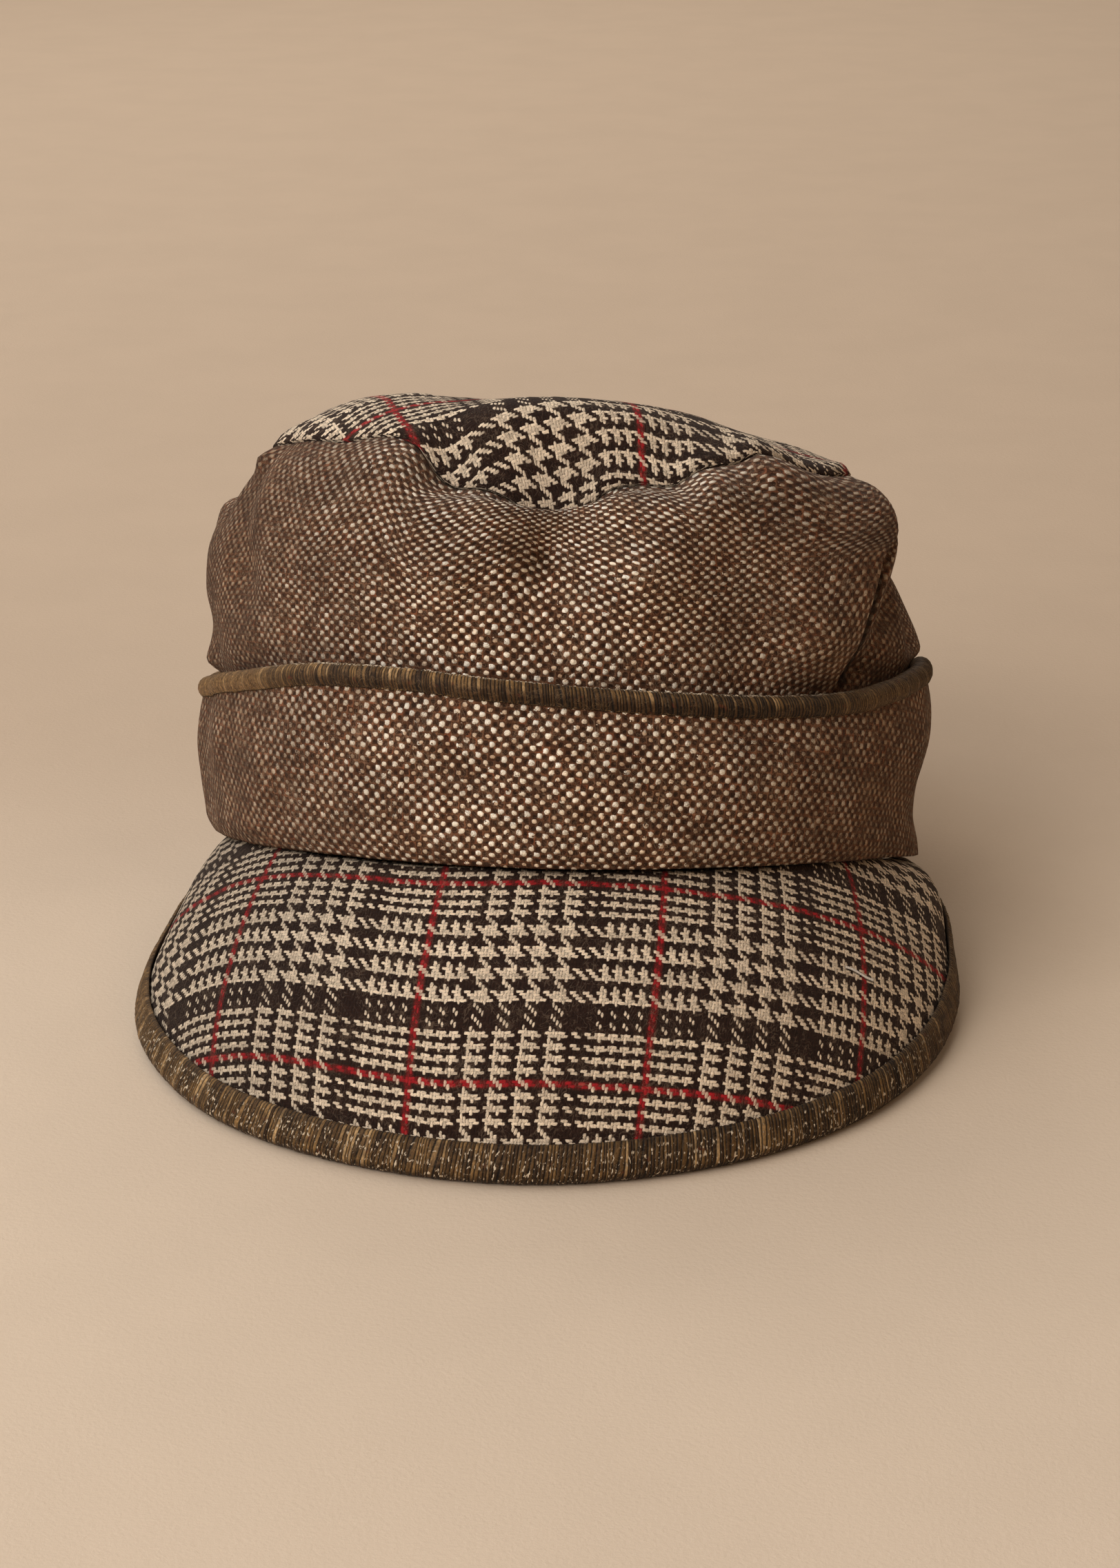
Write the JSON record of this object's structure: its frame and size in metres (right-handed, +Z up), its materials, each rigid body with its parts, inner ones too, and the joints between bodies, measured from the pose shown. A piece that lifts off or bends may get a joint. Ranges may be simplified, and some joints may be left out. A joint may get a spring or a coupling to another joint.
{
  "type": "peaked tweed cap with turned-up cuff",
  "caption": "Soft tweed cap with a dented plaid top, a turned-up cuff with a bound edge and a stiff curved plaid peak, standing on its nape and peak.",
  "frame": {"origin": "middle of the base, on the surface that the cap stands on", "axes": "+Z up, -Y the way the peak points, +X to the right as seen from in front of the peak (the wearer's left)"},
  "size_m": [0.2031, 0.2612, 0.143],
  "materials": {
    "tweed": "coarse brown and cream bird's-eye wool tweed, matt",
    "plaid": "glen check wool in cream and dark brown with a red overcheck, matt",
    "braid": "ribbed olive-brown braid, slight sheen"
  },
  "bodies": {
    "root": {"crown_side": "tweed", "crown_tip": "plaid", "cuff": "tweed", "cuff_binding": "braid", "peak": "plaid", "peak_binding": "braid"}
  },
  "joints": []
}
